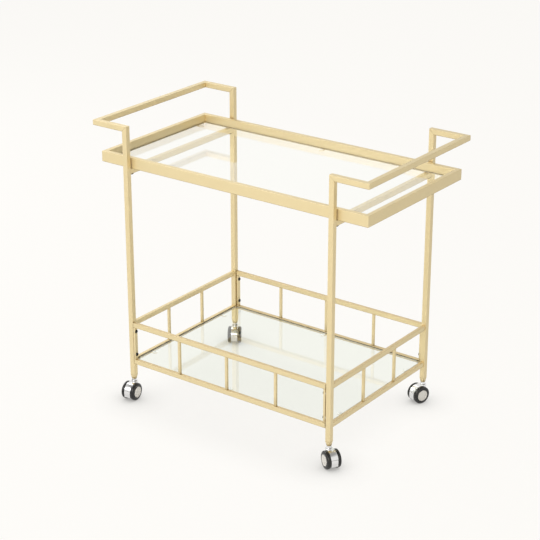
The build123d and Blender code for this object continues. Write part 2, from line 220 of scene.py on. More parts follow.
class Effect:
    """Effect that several materials share: one shader group, placed with each one's values."""

    name: str
    inputs: dict[str, float | Colour]
    outputs: tuple[str, ...]

    def wire(self, kit: Nodes, given: dict[str, Socket]) -> tuple[Socket, ...]:
        """Join the group's own nodes.

        Args:
            kit: The group's nodes.
            given: The group's inputs by name.

        Returns:
            What the group puts out, in the order of its outputs.
        """
        raise NotImplementedError

    def tree(self) -> bpy.types.NodeTree:
        """Build the group once and give it again when asked.

        Returns:
            The group.
        """
        found = bpy.data.node_groups.get(self.name)
        if found:
            return found
        group = bpy.data.node_groups.new(self.name, "ShaderNodeTree")
        for name, value in self.inputs.items():
            colour = isinstance(value, tuple)
            kind = "NodeSocketColor" if colour else "NodeSocketFloat"
            socket = group.interface.new_socket(name=name, in_out="INPUT", socket_type=kind)
            socket.default_value = (*value, 1.0) if colour else value
        for name in self.outputs:
            kind = "NodeSocketColor" if name == "Colour" else "NodeSocketFloat"
            group.interface.new_socket(name=name, in_out="OUTPUT", socket_type=kind)
        inward = group.nodes.new("NodeGroupInput")
        outward = group.nodes.new("NodeGroupOutput")
        kit = Nodes(group)
        given = {socket.name: socket for socket in inward.outputs}
        for name, result in zip(self.outputs, self.wire(kit, given)):
            kit.feed(outward.inputs[name], result)
        return group

    def place(self, kit: Nodes, **values: object) -> bpy.types.NodeOutputs:
        """Place the group in a material.

        Args:
            kit: The material's nodes.
            values: The group's inputs by name with underscores for spaces.

        Returns:
            The placed group's outputs.
        """
        return kit.add("Group", node_tree=self.tree(), **values).outputs


class SurfaceGrain(Effect):
    """Fine orange peel and slow cloudiness of a coated surface."""

    name = "surface_grain"
    inputs = {"Peel Scale": 900.0, "Cloud Scale": 14.0}
    outputs = ("Height", "Cloud")

    def wire(self, kit: Nodes, given: dict[str, Socket]) -> tuple[Socket, ...]:
        """Join two noises.

        Args:
            kit: The group's nodes.
            given: The group's inputs by name.

        Returns:
            The peel's height and the cloud's mask.
        """
        place = kit.add("TexCoord").outputs["Object"]
        peel = kit.add("TexNoise", Vector=place, Scale=given["Peel Scale"],
                       Detail=2.0, Roughness=0.5)
        cloud = kit.add("TexNoise", Vector=place, Scale=given["Cloud Scale"],
                        Detail=3.0, Roughness=0.55)
        return peel.outputs[0], cloud.outputs[0]


class PaintedEdgeLight(Effect):
    """Painted light on a coat: a painted highlight on its sharp edges, and painted shade on its
    lower edges and on its tops.
    """

    name = "painted_edge_light"
    inputs = {"Colour": WHITE, "Width": 0.002, "Light": 0.0, "Low Tone": WHITE, "Top Tone": WHITE}
    outputs = ("Colour",)
    sharp: Span = (0.99, 0.82)         # cosine between a face and its rounded edge
    lower: Span = (-0.06, -0.32)       # height of the normal where a lower edge begins
    not_below: Span = (-0.97, -0.82)   # and where it ends on the underside
    upward: Span = (0.15, 0.60)        # height of the normal where a top begins

    def wire(self, kit: Nodes, given: dict[str, Socket]) -> tuple[Socket, ...]:
        """Join the edge masks to the colour.

        Args:
            kit: The group's nodes.
            given: The group's inputs by name.

        Returns:
            The colour with its painted edge highlight and its painted shade on lower edges and
            tops.
        """
        rounded = kit.add("Bevel", samples=6, Radius=given["Width"]).outputs[0]
        flat = kit.add("NewGeometry").outputs["Normal"]
        edge = kit.ramp(kit.dot(rounded, flat), *self.sharp)
        # painted highlight: the colour screened over itself on sharp edges
        share = kit.maths("MULTIPLY", edge, given["Light"])
        colour = kit.mix(share, given["Colour"], given["Colour"], "SCREEN")
        tilt = kit.add("SeparateXYZ", Vector=rounded).outputs["Z"]
        # painted shade on the lower edges
        low = kit.maths("MULTIPLY", kit.ramp(tilt, *self.lower), kit.ramp(tilt, *self.not_below))
        colour = kit.mix(low, colour, given["Low Tone"], "MULTIPLY")
        # painted shade on the tops
        top = kit.ramp(tilt, *self.upward)
        return (kit.mix(top, colour, given["Top Tone"], "MULTIPLY"),)


class PaintedGapShade(Effect):
    """Painted shade where two parts nearly meet: the colour darkens where ambient occlusion finds
    little open sky.
    """

    name = "painted_gap_shade"
    inputs = {"Colour": WHITE, "Reach": 0.005, "Seam Colour": WHITE}
    outputs = ("Colour",)
    open_share: Span = (0.15, 0.70)

    def wire(self, kit: Nodes, given: dict[str, Socket]) -> tuple[Socket, ...]:
        """Join the share of open sky to the colour.

        Args:
            kit: The group's nodes.
            given: The group's inputs by name.

        Returns:
            The colour with painted shade in its gaps.
        """
        near = kit.add("AmbientOcclusion", samples=8, Distance=given["Reach"])
        free = kit.ramp(near.outputs["AO"], *self.open_share)
        # painted shade: the colour multiplied by the gap's shade colour
        painted_shade_colour = kit.mix(1.0, given["Colour"], given["Seam Colour"], "MULTIPLY")
        return (kit.mix(free, painted_shade_colour, given["Colour"]),)


class BelowPane(Effect):
    """Shade that a pane's edge throws on the inner faces of the rails around it."""

    name = "below_pane"
    inputs = {"Colour": WHITE, "Pane Top": 0.0, "Shade": WHITE}
    outputs = ("Colour",)
    inner_face: Span = (-0.03, -0.10)      # outward lean of the face, which is negative inside
    pane_edge: Span = (-0.0003, 0.0003)    # depth below the pane's top where the shade begins
    thin_out: Span = (0.0010, 0.0022)      # and where it thins out
    rest_share: float = 0.30

    def wire(self, kit: Nodes, given: dict[str, Socket]) -> tuple[Socket, ...]:
        """Join the mask of the inner faces to the colour.

        Args:
            kit: The group's nodes.
            given: The group's inputs by name.

        Returns:
            The colour with its shade.
        """
        place = kit.add("TexCoord").outputs["Object"]
        parts = kit.add("SeparateXYZ", Vector=place).outputs
        level = kit.add("CombineXYZ", X=parts["X"], Y=parts["Y"]).outputs[0]
        outward = kit.dot(level, kit.add("NewGeometry").outputs["Normal"])
        depth = kit.maths("SUBTRACT", given["Pane Top"], parts["Z"])
        below = kit.maths("MULTIPLY", kit.ramp(depth, *self.pane_edge),
                          kit.ramp(depth, *self.thin_out, 1.0, self.rest_share))
        mask = kit.maths("MULTIPLY", kit.ramp(outward, *self.inner_face), below)
        return (kit.mix(mask, given["Colour"], given["Shade"], "MULTIPLY"),)


class BroadFaces(Effect):
    """Mask of a pane's broad faces, which is 0 on its ground edges."""

    name = "broad_faces"
    inputs = {}
    outputs = ("Mask",)
    level: Span = (0.75, 0.95)

    def wire(self, kit: Nodes, given: dict[str, Socket]) -> tuple[Socket, ...]:
        """Join the height of the face's normal to a mask.

        Args:
            kit: The group's nodes.
            given: The group's inputs by name; not used.

        Returns:
            The mask.
        """
        flat = kit.add("NewGeometry").outputs["True Normal"]
        height = kit.add("SeparateXYZ", Vector=flat).outputs["Z"]
        return (kit.ramp(kit.maths("ABSOLUTE", height), *self.level),)


@dataclass(frozen=True)
class CoatedFinish:
    """Opaque finish with fine peel, a slow drift of tone and a little change in gloss.

    A glow, where given, is painted light: emission that stands for the light that a frosted clear
    rubber passes on from below.
    """

    name: str
    colour: Colour
    drift: Colour
    metallic: float
    roughness: float
    roughness_drift: float = 0.06
    peel_scale: float = 900.0
    cloud_scale: float = 14.0
    bump: float = 0.06
    bump_depth: float = 0.00004
    # painted light: a highlight on edges, and shade on lower edges, tops, gaps and below a pane
    edge_width: float = 0.0
    edge_light: float = 0.0
    low_edge_shade: Colour = WHITE
    top_shade: Colour = WHITE
    gap_shade_reach: float = 0.0
    gap_shade_colour: Colour = WHITE
    pane_top: float = 0.0
    pane_shade: Colour = (0.16, 0.135, 0.065)
    painted_glow: float = 0.0

    def material(self) -> bpy.types.Material:
        """Make the material once and give it again when asked.

        Returns:
            The finished material.
        """
        found = bpy.data.materials.get(self.name)
        if found:
            return found
        made = bpy.data.materials.new(self.name)
        made.use_nodes = True
        kit = Nodes(made.node_tree)
        shader = made.node_tree.nodes["Principled BSDF"].inputs
        shader["Metallic"].default_value = self.metallic
        grain = SurfaceGrain().place(kit, Peel_Scale=self.peel_scale, Cloud_Scale=self.cloud_scale)
        colour = self.with_painted_light(kit, kit.mix(grain["Cloud"], self.colour, self.drift))
        kit.feed(shader["Base Color"], colour)
        # painted glow: the part gives out its colour as light, though it is no lamp
        if self.painted_glow:
            kit.feed(shader["Emission Color"], colour)
            shader["Emission Strength"].default_value = self.painted_glow
        low, high = self.roughness - self.roughness_drift, self.roughness + self.roughness_drift
        kit.feed(shader["Roughness"], kit.ramp(grain["Cloud"], 0.0, 1.0, low, high))
        bump = kit.add("Bump", Strength=self.bump, Distance=self.bump_depth,
                       Height=grain["Height"])
        kit.feed(shader["Normal"], bump.outputs[0])
        return made

    def with_painted_light(self, kit: Nodes, colour: Socket) -> Socket:
        """Pass the colour through the painted light and shade that this finish has.

        Args:
            kit: The material's nodes.
            colour: The coat's plain colour.

        Returns:
            The colour with its painted highlights on edges and its painted shade on lower edges,
            tops, gaps and below a pane.
        """
        if self.edge_width:
            colour = PaintedEdgeLight().place(
                kit, Colour=colour, Width=self.edge_width, Light=self.edge_light,
                Low_Tone=self.low_edge_shade, Top_Tone=self.top_shade)["Colour"]
        if self.gap_shade_reach:
            colour = PaintedGapShade().place(kit, Colour=colour, Reach=self.gap_shade_reach,
                                       Seam_Colour=self.gap_shade_colour)["Colour"]
        if self.pane_top:
            colour = BelowPane().place(kit, Colour=colour, Pane_Top=self.pane_top,
                                       Shade=self.pane_shade)["Colour"]
        return colour


@dataclass(frozen=True)
class PaneFinish:
    """Clear glass with ground edges that lets the lamps through."""

    name: str
    colour: Colour
    edge_colour: Colour
    depth_density: float
    depth_colour: Colour = (0.62, 0.90, 0.78)
    ior: float = 1.50
    smear: float = 0.012
    smear_scale: float = 9.0
    smear_from: Span = (0.45, 0.80)
    edge_roughness: float = 0.5
    lamp_share: float = 0.94

    def material(self) -> bpy.types.Material:
        """Make the material once and give it again when asked.

        Returns:
            The finished material.
        """
        found = bpy.data.materials.get(self.name)
        if found:
            return found
        made = bpy.data.materials.new(self.name)
        made.use_nodes = True
        kit = Nodes(made.node_tree)
        out = made.node_tree.nodes["Material Output"].inputs
        shader = made.node_tree.nodes["Principled BSDF"]
        shader.inputs["Transmission Weight"].default_value = 1.0
        shader.inputs["IOR"].default_value = self.ior
        broad = BroadFaces().place(kit)["Mask"]
        # the ground edges' dark colour is partly the glass's own green through its length and
        # partly painted shade
        kit.feed(shader.inputs["Base Color"], kit.mix(broad, self.edge_colour, self.colour))
        grain = SurfaceGrain().place(kit, Cloud_Scale=self.smear_scale)
        smears = kit.ramp(grain["Cloud"], *self.smear_from, 0.0, self.smear)
        ground = kit.maths("MULTIPLY_ADD", broad, -self.edge_roughness, self.edge_roughness)
        kit.feed(shader.inputs["Roughness"], kit.maths("ADD", smears, ground))
        lamps = kit.add("BsdfTransparent", Color=(self.lamp_share,) * 3)
        mixed = kit.add("MixShader")
        kit.feed(mixed.inputs[0], kit.add("LightPath").outputs["Is Shadow Ray"])
        kit.feed(mixed.inputs[1], shader.outputs[0])
        kit.feed(mixed.inputs[2], lamps.outputs[0])
        kit.feed(out["Surface"], mixed.outputs[0])
        depth = kit.add("VolumeAbsorption", Density=self.depth_density, Color=self.depth_colour)
        kit.feed(out["Volume"], depth.outputs[0])
        return made


# The gold paints a highlight on its edges, shade on its lower edges and shade in the gaps between
# parts.
GOLD = CoatedFinish(
    "satin_pale_gold", (0.80, 0.665, 0.385), (0.835, 0.70, 0.42), 0.45, 0.40, bump=0.10,
    edge_width=0.0020, edge_light=0.04, low_edge_shade=(0.50, 0.44, 0.30),
    gap_shade_reach=0.016, gap_shade_colour=(0.60, 0.42, 0.20))
# These copies of the gold differ only in painted shade: less or none in gaps, shade below the
# shelf pane, and shade on the gallery rails' tops.
GOLD_TRAY = replace(GOLD, name="satin_pale_gold_tray", gap_shade_reach=0.005)
GOLD_LEFT = replace(GOLD, name="satin_pale_gold_left", gap_shade_reach=0.005,
                    pane_top=SIZES.shelf_pane_top)
GOLD_GALLERY = replace(GOLD_LEFT, name="satin_pale_gold_gallery", top_shade=(0.87, 0.83, 0.79))
GOLD_UNDER_GLASS = replace(GOLD, name="satin_pale_gold_under_glass", gap_shade_reach=0.0)
# Each pane's dark edge colour is partly the glass's own green through its length and partly
# painted shade.
TRAY_GLASS = PaneFinish("clear_tray_glass", (0.985, 0.995, 0.985), (0.045, 0.040, 0.015), 1.0)
# The shelf's pane is the same glass as the tray's; its greyer colour is painted shade from the
# cart above it.
SHELF_GLASS = PaneFinish("clear_shelf_glass", (0.91, 0.935, 0.89), (0.030, 0.030, 0.012), 1.6)
PAD = CoatedFinish(
    "frosted_bumper", (0.84, 0.84, 0.86), (0.92, 0.92, 0.94), 0.0, 0.30,
    cloud_scale=120.0, painted_glow=0.20)
# The black steel paints a faint highlight on its edges.
BLACK_STEEL = CoatedFinish(
    "black_oxide", (0.018, 0.017, 0.016), (0.028, 0.026, 0.024), 0.6, 0.38,
    edge_width=0.0003, edge_light=0.1)
ZINC = CoatedFinish(
    "zinc_plate", (0.42, 0.41, 0.38), (0.50, 0.49, 0.46), 0.9, 0.36, peel_scale=2200.0)
# The chrome paints dark shade into its seams.
CHROME = CoatedFinish(
    "polished_chrome", (0.76, 0.76, 0.765), (0.82, 0.82, 0.825), 1.0, 0.08,
    roughness_drift=0.03, peel_scale=500.0, bump=0.04,
    gap_shade_reach=0.004, gap_shade_colour=(0.05, 0.05, 0.055))
WHEEL_BLACK = CoatedFinish(
    "black_nylon", (0.006, 0.006, 0.0055), (0.010, 0.0095, 0.009), 0.0, 0.24,
    roughness_drift=0.05, peel_scale=1800.0, cloud_scale=60.0)
CAP_SILVER = CoatedFinish(
    "satin_silver_cap", (0.74, 0.72, 0.685), (0.79, 0.77, 0.735), 0.40, 0.34,
    peel_scale=2600.0, cloud_scale=80.0)


class Piece:
    """One new piece: a mesh built with bmesh operators, finished at the origin."""

    def __init__(self, name: str) -> None:
        """Start an empty mesh.

        Args:
            name: The finished object's name.
        """
        self.name = name
        self.mesh = bmesh.new()

    def spin(self, profile: Profile, steps: int, place: Matrix = Matrix()) -> None:
        """Add a turned shape.

        Args:
            profile: Outline as (distance along the axis, radius), from one end to the other.
            steps: Number of sides of the full turn.
            place: Where the turned shape goes; its axis is local Z.
        """
        before = set(self.mesh.verts)
        closed = profile[0] == profile[-1]
        points = profile[:-1] if closed else profile
        verts = [self.mesh.verts.new((radius, 0.0, along)) for along, radius in points]
        pairs = list(zip(verts, verts[1:])) + ([(verts[-1], verts[0])] if closed else [])
        edges = [self.mesh.edges.new(pair) for pair in pairs]
        bmesh.ops.spin(self.mesh, geom=verts + edges, cent=(0, 0, 0), axis=(0, 0, 1),
                       angle=math.tau, steps=steps, use_merge=True, use_duplicate=False)
        fresh = [v for v in self.mesh.verts if v not in before]
        bmesh.ops.remove_doubles(self.mesh, verts=fresh, dist=SAME_POINT)
        fresh = [v for v in self.mesh.verts if v not in before]
        bmesh.ops.transform(self.mesh, matrix=place, verts=fresh)

    def stamp(self, data: bpy.types.Mesh, place: Matrix) -> None:
        """Add a copy of a mesh.

        Args:
            data: The mesh.
            place: Where its copy goes.
        """
        copy = data.copy()
        copy.transform(place)
        self.mesh.from_mesh(copy)
        bpy.data.meshes.remove(copy)

    def ease(self, width: float, strips: int, turn: float) -> None:
        """Round every edge that is sharper than an angle.

        Args:
            width: Width of the rounding, in metres.
            strips: Number of strips in it.
            turn: Smallest turn between two faces that counts as an edge, in degrees.
        """
        limit = math.radians(turn)
        sharp = [e for e in self.mesh.edges
                 if len(e.link_faces) == 2 and e.calc_face_angle(0.0) > limit]
        if sharp:
            bmesh.ops.bevel(self.mesh, geom=sharp, offset=width, offset_type="OFFSET",
                            segments=strips, affect="EDGES", profile=0.5, material=-1,
                            clamp_overlap=True)

    def done(self, finish: bpy.types.Material, body: str, slot: str, replaces: Iterable[str],
             smooth: float = 40.0) -> bpy.types.Object:
        """Turn the mesh into an object, dress it and tie it to its body.

        Args:
            finish: The piece's material.
            body: CAD body that the piece moves with.
            slot: Name of a material slot; not used.
            replaces: CAD nodes that the piece stands for.
            smooth: Edges flatter than this angle, in degrees, are shaded smooth.

        Returns:
            The finished object.
        """
        bmesh.ops.recalc_face_normals(self.mesh, faces=self.mesh.faces)
        data = bpy.data.meshes.new(self.name)
        self.mesh.to_mesh(data)
        self.mesh.free()
        data.shade_smooth()
        data.set_sharp_from_angle(angle=math.radians(smooth))
        data.materials.append(finish)
        made = bpy.data.objects.new(self.name, data)
        bpy.context.scene.collection.objects.link(made)
        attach(made, body)
        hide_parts(*replaces)
        log.info("piece %s: %d faces on %s", self.name, len(data.polygons), body)
        return made


def copy_of(node: str, name: str) -> Piece:
    """Start a piece from a merged copy of a CAD node's mesh.

    Args:
        node: The CAD node.
        name: The new piece's name.

    Returns:
        A piece whose flat faces are whole again.
    """
    piece = Piece(name)
    mesh = piece.mesh
    mesh.from_mesh(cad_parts[node].data)
    bmesh.ops.remove_doubles(mesh, verts=mesh.verts, dist=SAME_CORNER)
    bmesh.ops.dissolve_limit(mesh, angle_limit=math.radians(FLAT_TURN), verts=mesh.verts,
                             edges=mesh.edges, use_dissolve_boundaries=False)
    return piece


def dress(nodes: Iterable[str], finish: bpy.types.Material) -> None:
    """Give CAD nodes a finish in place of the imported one.

    Args:
        nodes: CAD node names.
        finish: The material.
    """
    for name in nodes:
        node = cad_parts[name]
        node.data.materials.clear()
        node.data.materials.append(finish)
        log.info("node %s: %s", name, finish.name)


@dataclass
class TubeFrame:
    """Posts, handles, rails, crossbars, balusters, tabs and leg ends: everything in satin gold."""

    tubes: tuple[str, ...] = (
        "left_front_post", "left_rear_post", "right_front_post", "right_rear_post",
        "left_handle", "right_handle")
    left: tuple[str, ...] = ("left_side_rails",)
    gallery: tuple[str, ...] = ("right_side_rails", "front_gallery_rails", "rear_gallery_rails")
    tray: tuple[str, ...] = (
        "tray_front_rail", "tray_rear_rail", "tray_left_rail", "tray_right_rail")
    sharp_pieces: tuple[str, ...] = (
        "left_side_balusters", "right_side_balusters", "front_gallery_uprights",
        "rear_gallery_uprights", "front_gallery_balusters", "rear_gallery_balusters",
        "leg_plugs")
    under_glass: tuple[str, ...] = ("tray_crossbars", "tray_glass_tabs", "shelf_glass_tabs")
    edge_round: float = 0.0006
    round_strips: int = 3
    edge_turn: float = 40.0

    def build(self) -> None:
        """Dress the posts, handles and rails, and ease the edges of the bars, tabs and plugs."""
        for names, finish in ((self.tubes, GOLD), (self.left, GOLD_LEFT),
                              (self.gallery, GOLD_GALLERY), (self.tray, GOLD_TRAY)):
            dress(names, finish.material())
        for names, finish in ((self.sharp_pieces, GOLD), (self.under_glass, GOLD_UNDER_GLASS)):
            for name in names:
                piece = copy_of(name, f"eased_{name}")
                piece.ease(self.edge_round, self.round_strips, self.edge_turn)
                piece.done(finish.material(), "frame", "gold", [name])


@dataclass
class GlassPanes:
    """The two panes and the clear bumpers that they lie on."""

    pad_radius: float = 0.0072
    pad_height: float = 0.00096
    pad_outline: tuple[tuple[float, float], ...] = (   # shares of the height and the radius
        (0.0, 0.0), (0.0, 0.97), (0.15, 1.0), (0.55, 0.985), (0.85, 0.93), (1.0, 0.84),
        (1.0, 0.0))
    steps: int = 40
    smooth: float = 50.0

    def build(self) -> None:
        """Dress the panes and make the bumpers."""
        dress(("tray_glass",), TRAY_GLASS.material())
        dress(("shelf_glass",), SHELF_GLASS.material())
        s = SIZES
        self.bumpers("tray", s.tray_inner_x, s.tray_inner_y, s.tray_tab_y, s.tray_pad_z)
        self.bumpers("shelf", s.shelf_inner_x, s.shelf_inner_y, s.shelf_tab_y, s.shelf_pad_z)

    def bumpers(self, tier: str, inner_x: float, inner_y: float, tab_y: float,
                low: float) -> None:
        """Six bumpers under one pane.

        Args:
            tier: The tier's name in the CAD nodes.
            inner_x: Inner face of the short rails.
            inner_y: Inner face of the long rails.
            tab_y: Distance of the short sides' tabs from the middle.
            low: Height of the tabs' top faces.
        """
        piece = Piece(f"{tier}_bumpers")
        profile = [(self.pad_height * up, self.pad_radius * out) for up, out in self.pad_outline]
        places = [(side.value * (inner_x - SIZES.pad_inset), end.value * tab_y)
                  for side in Side for end in Face]
        places += [(0.0, end.value * (inner_y - SIZES.pad_inset)) for end in Face]
        for x, y in places:
            piece.spin(profile, self.steps, Matrix.Translation((x, y, low)))
        piece.done(PAD.material(), "frame", "clear_pad", [f"{tier}_glass_pads"], self.smooth)


@dataclass
class Fasteners:
    """Black button-head bolts and screws with their sockets, and the rivet nuts."""

    bolt_head: tuple[float, float] = (0.0049, 0.0030)    # radius and height
    screw_head: tuple[float, float] = (0.0060, 0.0040)
    bolt_length: float = 0.016
    screw_length: float = 0.022
    shank_radius: float = 0.00245
    tip: float = 0.0005
    socket_radius: float = 0.0017
    socket_depth: float = 0.0016
    socket_sides: int = 6
    flat_share: float = 1.35    # radius of the head's flat, in socket radii
    dome_share: float = 0.8     # height of the dome, in head heights
    dome_steps: int = 6
    steps: int = 24

    def build(self) -> None:
        """Make the panel bolts and the tray screws, and dress the rivet nuts."""
        s = SIZES
        bolts = Piece("panel_bolts")
        bolt = self.bolt(self.bolt_length, *self.bolt_head)
        seat = s.half_x - s.post - s.panel_gap - s.upright
        for side in Side:
            turn = Matrix.Rotation(QUARTER_TURN * side.value, 4, "Y")
            for end in Face:
                for height in s.bolt_heights:
                    head = (side.value * seat, end.value * s.panel_y, height)
                    bolts.stamp(bolt, Matrix.Translation(head) @ turn)
        bolts.done(BLACK_STEEL.material(), "frame", "black_fastener", ["gallery_bolts"])
        screws = Piece("tray_screws_turned")
        screw = self.bolt(self.screw_length, *self.screw_head)
        for side in Side:
            for end in Face:
                head = (side.value * s.post_x, end.value * s.screw_y, s.tray_bottom - s.crossbar)
                screws.stamp(screw, Matrix.Translation(head))
        screws.done(BLACK_STEEL.material(), "frame", "black_fastener", ["tray_screws"])
        dress(("gallery_rivet_nuts",), ZINC.material())

    def bolt(self, length: float, radius: float, height: float) -> bpy.types.Mesh:
        """One button-head bolt: the head below the seat at zero, the shank above it.

        Args:
            length: Length of the shank.
            radius: Radius of the head.
            height: Height of the head.

        Returns:
            The bolt's mesh, its axis along Z.
        """
        piece = Piece("bolt")
        mesh = piece.mesh
        rim = self.socket_radius * self.flat_share
        dome, shank = height * self.dome_share, self.shank_radius
        profile = [(-height, rim)]
        for step in range(1, self.dome_steps + 1):
            turn = QUARTER_TURN * step / self.dome_steps
            profile.append((-height + dome * (1 - math.cos(turn)),
                            rim + (radius - rim) * math.sin(turn)))
        profile += [(0.0, radius), (0.0, shank), (length - self.tip, shank),
                    (length, shank - self.tip), (length, 0.0)]
        piece.spin(profile, self.steps)
        rim_edges = [e for e in mesh.edges if len(e.link_faces) == 1]
        hexagon = bmesh.ops.create_circle(
            mesh, cap_ends=False, radius=self.socket_radius, segments=self.socket_sides,
            matrix=Matrix.Translation((0, 0, -height)))["verts"]
        hex_edges = list({e for v in hexagon for e in v.link_edges})
        split = bmesh.ops.subdivide_edges(mesh, edges=hex_edges,
                                          cuts=self.steps // self.socket_sides - 1)
        ring = {g for g in split["geom"] if isinstance(g, bmesh.types.BMEdge)}
        ring = list(ring | {e for e in hex_edges if e.is_valid})
        bmesh.ops.bridge_loops(mesh, edges=rim_edges + ring)
        wall = bmesh.ops.extrude_edge_only(mesh, edges=ring)["geom"]
        floor_verts = [g for g in wall if isinstance(g, bmesh.types.BMVert)]
        floor_edges = [g for g in wall if isinstance(g, bmesh.types.BMEdge)
                       and all(v in floor_verts for v in g.verts)]
        bmesh.ops.translate(mesh, verts=floor_verts, vec=(0, 0, self.socket_depth))
        bmesh.ops.contextual_create(mesh, geom=floor_edges)
        data = bpy.data.meshes.new("bolt")
        mesh.to_mesh(data)
        mesh.free()
        return data


@dataclass(frozen=True)
class Corner:
    """One leg's place and the way its caster trails."""

    name: str
    side: Side
    end: Face
    trail_degrees: float

    def place(self) -> Matrix:
        """Go from the caster's own frame, with its trail along X, to the cart's.

        Returns:
            The matrix from that frame to the cart's.
        """
        foot = (self.side.value * SIZES.post_x, self.end.value * SIZES.post_y, 0)
        turn = Matrix.Rotation(math.radians(self.trail_degrees), 4, "Z")
        return Matrix.Translation(foot) @ turn


CORNERS = (
    Corner("left_front", Side.LEFT, Face.FRONT, -83.0),
    Corner("right_front", Side.RIGHT, Face.FRONT, -31.0),
    Corner("right_rear", Side.RIGHT, Face.REAR, -111.0),
    Corner("left_rear", Side.LEFT, Face.REAR, -57.0),
)


@dataclass
class Caster:
    """Twin-wheel caster under one leg. Sizes along the axle count from its middle."""

    corner: Corner
    trail: float = 0.015
    axle_height: float = 0.025
    wheel_radius: float = 0.025
    wheel_inner: float = 0.0105
    wheel_outer: float = 0.0206
    tread_flat: float = 0.0060
    tread_edge: float = 0.0008
    tread_ease: tuple[float, float] = (0.0002, 0.0003)   # middle of that edge, in and down
    shoulder_radius: float = 0.017
    shoulder_steps: int = 10
    recess_radius: float = 0.0156
    recess_floor: float = 0.0188
    recess_edge: float = 0.0003
    pocket_floor: float = 0.015
    pocket_radius: float = 0.0205
    hub_radius: float = 0.008
    bore_radius: float = 0.00305
    cap_gap: float = 0.0001
    cap_stand: float = 0.0002
    cap_edge: float = 0.0003
    cap_rim: float = 0.0018
    groove_width: float = 0.0008
    groove_depth: float = 0.0006
    crown_inset: float = 0.0030
    crown_drop: float = 0.0005
    crown_rise: float = 0.0010
    crown_steps: int = 10
    hood_round: float = 0.0009
    pedal_round: float = 0.0010
    round_strips: int = 4
    edge_turn: float = 38.0
    steps: int = 96

    def build(self) -> None:
        """Make the wheels, caps, hood and pedal, and dress the axle."""
        for letter, sign in (("a", 1), ("b", -1)):
            self.wheel(letter, sign)
            self.cap(letter, sign)
        self.cast("caster_hood", "caster", self.hood_round)
        self.cast("brake_pedal", "pedal", self.pedal_round)
        dress((f"{self.corner.name}_caster_axle",), ZINC.material())

    def axle(self, sign: int) -> Matrix:
        """Frame whose Z runs out along the axle.

        Args:
            sign: +1 for wheel a's side, -1 for wheel b's.

        Returns:
            The matrix from that frame to the cart's.
        """
        middle = Matrix.Translation((self.trail, 0, self.axle_height))
        turn = Matrix.Rotation(-QUARTER_TURN * sign, 4, "X")
        return self.corner.place() @ middle @ turn

    def wheel(self, letter: str, sign: int) -> None:
        """Wheel with a rounded outer shoulder and a ring pocket on its inner face.

        Args:
            letter: The wheel's letter in the CAD nodes.
            sign: Side of the middle plane.
        """
        name = f"{self.corner.name}_wheel_{letter}"
        inner, outer, tread = self.wheel_inner, self.wheel_outer, self.wheel_radius
        edge, shoulder, recess = self.tread_edge, self.shoulder_radius, self.recess_radius
        along, down = self.tread_ease
        profile: Profile = [
            (inner, self.bore_radius), (inner, self.hub_radius),
            (self.pocket_floor, self.hub_radius), (self.pocket_floor, self.pocket_radius),
            (inner, self.pocket_radius), (inner, tread - edge),
            (inner + along, tread - down), (inner + edge, tread)]
        start = inner + self.tread_flat
        for step in range(1, self.shoulder_steps + 1):
            turn = QUARTER_TURN * step / self.shoulder_steps
            profile.append((start + (outer - start) * math.sin(turn),
                            shoulder + (tread - shoulder) * math.cos(turn)))
        profile += [(outer, recess + self.recess_edge), (outer - self.recess_edge, recess),
                    (self.recess_floor, recess), (self.recess_floor, self.bore_radius)]
        profile.append(profile[0])
        piece = Piece(f"turned_{name}")
        piece.spin(profile, self.steps, self.axle(sign))
        piece.done(WHEEL_BLACK.material(), name, "black_wheel", [name])

    def cap(self, letter: str, sign: int) -> None:
        """Crowned cap with a raised rim and a fine groove.

        Args:
            letter: The wheel's letter in the CAD nodes.
            sign: Side of the middle plane.
        """
        node = f"{self.corner.name}_hubcap_{letter}"
        radius = self.recess_radius - self.cap_gap
        rim, reach = radius - self.cap_rim, radius - self.crown_inset
        face = self.wheel_outer + self.cap_stand
        profile: Profile = [
            (self.recess_floor, 0.0), (self.recess_floor, radius),
            (face - self.cap_edge, radius), (face, radius - self.cap_edge), (face, rim),
            (face - self.groove_depth / 2, rim - self.groove_width / 2),
            (face - self.groove_depth, rim - self.groove_width)]
        for step in range(self.crown_steps + 1):
            share = 1.0 - step / self.crown_steps
            rise = (self.crown_rise + self.crown_drop) * (1.0 - share * share)
            profile.append((face - self.crown_drop + rise, reach * share))
        piece = Piece(f"turned_{node}")
        piece.spin(profile, self.steps, self.axle(sign))
        piece.done(CAP_SILVER.material(), f"{self.corner.name}_wheel_{letter}", "silver_cap",
                   [node])

    def cast(self, part: str, body: str, width: float) -> None:
        """Chrome casting with its edges rounded.

        Args:
            part: The part's name in the CAD nodes.
            body: The body's name, after the corner's.
            width: Width of the rounding.
        """
        node = f"{self.corner.name}_{part}"
        piece = copy_of(node, f"cast_{node}")
        piece.ease(width, self.round_strips, self.edge_turn)
        piece.done(CHROME.material(), f"{self.corner.name}_{body}", "chrome", [node])


@dataclass
class Stems:
    """The four stems with their hexagon collars."""

    node: str = "caster_stems"
    edge_round: float = 0.0004
    round_strips: int = 3
    edge_turn: float = 38.0

    def build(self) -> None:
        """Round the collars' edges and give them their chrome."""
        piece = copy_of(self.node, f"rounded_{self.node}")
        piece.ease(self.edge_round, self.round_strips, self.edge_turn)
        piece.done(CHROME.material(), "frame", "chrome", [self.node])


@dataclass(frozen=True)
class Lamp:
    """Square soft lamp."""

    name: str
    place: Place
    size: float
    power: float
    colour: Colour = WHITE

    def build(self, aim: Place) -> None:
        """Hang the lamp and turn it to a point.

        Args:
            aim: The point, in metres.
        """
        data = bpy.data.lights.new(self.name, "AREA")
        data.shape = "SQUARE"
        data.size = self.size
        data.energy = self.power
        data.color = self.colour
        made = bpy.data.objects.new(self.name, data)
        made.location = self.place
        toward = Vector(aim) - Vector(self.place)
        made.rotation_euler = toward.to_track_quat("-Z", "Y").to_euler()
        bpy.context.scene.collection.objects.link(made)


